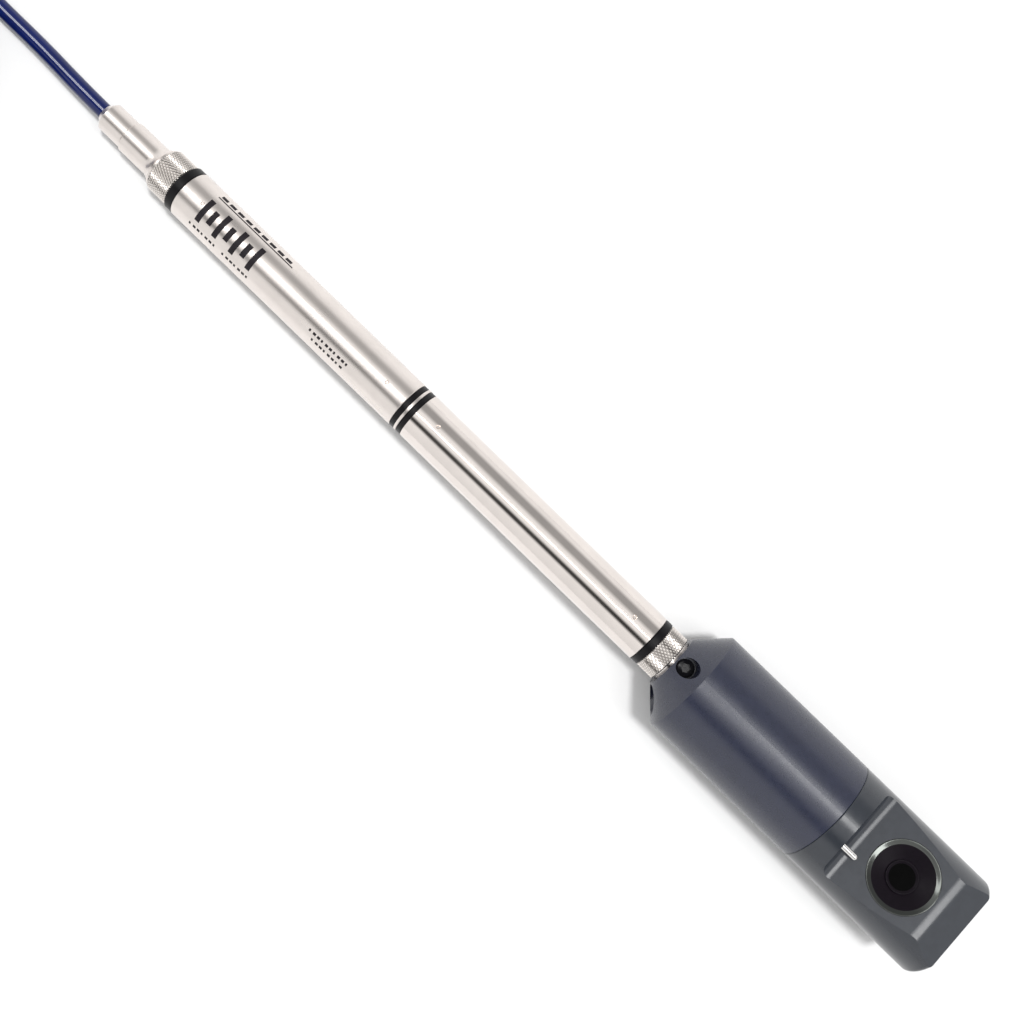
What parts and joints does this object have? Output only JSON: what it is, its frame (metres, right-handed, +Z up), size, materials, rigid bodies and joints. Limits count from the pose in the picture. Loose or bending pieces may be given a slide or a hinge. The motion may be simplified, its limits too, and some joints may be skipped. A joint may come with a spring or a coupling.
{
  "type": "water quality probe",
  "caption": "Submersible probe with an angled optical sensing window in a pull-off nose, steel tube body, knurled unions, and a coiled cable with a capped plug.",
  "frame": {"origin": "on the ground, under the middle of the probe without its cable", "axes": "+X along the probe from the cable end to the sensing tip, +Z up; the tip stands 2.6 degrees higher than the tail, as the probe lies on the ground"},
  "size_m": [0.5946, 0.1276, 0.0454],
  "materials": {
    "steel": "satin, fine turned finish",
    "knurled_steel": "diamond knurl, bead blasted",
    "black_rubber": "matte",
    "wire_insulation": "matte",
    "board": "solder mask",
    "board_components": "matte",
    "head_plastic": "machined acetal, matte",
    "nose_plastic": "machined acetal, satin",
    "window_rim": "gloss",
    "optical_foil": "satin",
    "lens": "polished",
    "cable_jacket": "smooth polyurethane",
    "tie_strap": "woven hook and loop",
    "plug_plastic": "moulded",
    "plug_metal": "knurled, anodised",
    "gold_contacts": "plated",
    "cap_rubber": "moulded"
  },
  "bodies": {
    "probe": {"cable_fitting": "steel", "cable_nut": "steel", "upper_tube": "steel", "lower_tube": "steel", "tube_joiner": "steel", "tube_dowels": "steel", "head_adapter": "steel", "head_screws": "steel", "thermistor_pin": "steel", "cable_grommet": "black_rubber", "fitting_o_ring": "black_rubber", "rear_seal_ring": "black_rubber", "front_seal_ring": "black_rubber", "joiner_seal_rear": "black_rubber", "joiner_seal_front": "black_rubber", "joiner_o_rings": "black_rubber", "adapter_o_ring": "black_rubber", "nose_o_ring": "black_rubber", "cable_wires": "wire_insulation", "link_wires": "wire_insulation", "head_wires": "wire_insulation", "comms_board": "board", "sensor_board": "board", "optics_board": "board", "comms_board_components": "board_components", "sensor_board_components": "board_components", "head_barrel": "head_plastic", "optics_block": "head_plastic", "optics_lens": "lens", "cable_run": "cable_jacket", "cable_coil": "cable_jacket", "cable_tail": "cable_jacket", "coil_ties": "tie_strap", "plug_gland_nut": "plug_plastic", "plug_shell": "plug_plastic", "plug_insert": "plug_plastic", "plug_contacts": "gold_contacts"},
    "rear_nut": {"rear_collar": "knurled_steel"},
    "front_nut": {"front_collar": "knurled_steel"},
    "nose": {"nose_cap": "nose_plastic", "window_bezel": "window_rim", "optical_foil": "optical_foil", "foil_ring": "window_rim"},
    "plug_ring": {"plug_ring": "plug_metal"},
    "dust_cap": {"dust_cap": "cap_rubber"}
  },
  "joints": [
    {"name": "nose_pull", "type": "slide", "parent": "probe", "child": "nose", "axis": [0.999, 0, 0.0457], "range_m": [0, 0.06]},
    {"name": "rear_nut_turn", "type": "hinge", "parent": "probe", "child": "rear_nut", "pos_m": [-0.1746, 0, 0.00916], "axis": [0.999, 0, 0.0457], "continuous": true},
    {"name": "front_nut_turn", "type": "hinge", "parent": "probe", "child": "front_nut", "pos_m": [0.07134, 0, 0.02041], "axis": [0.999, 0, 0.0457], "continuous": true},
    {"name": "plug_ring_turn", "type": "hinge", "parent": "probe", "child": "plug_ring", "pos_m": [-0.3745, -0.0825, 0.0104], "axis": [0, -1, 0], "continuous": true},
    {"name": "dust_cap_pull", "type": "slide", "parent": "probe", "child": "dust_cap", "axis": [0, -1, 0], "range_m": [0, 0.03]}
  ]
}
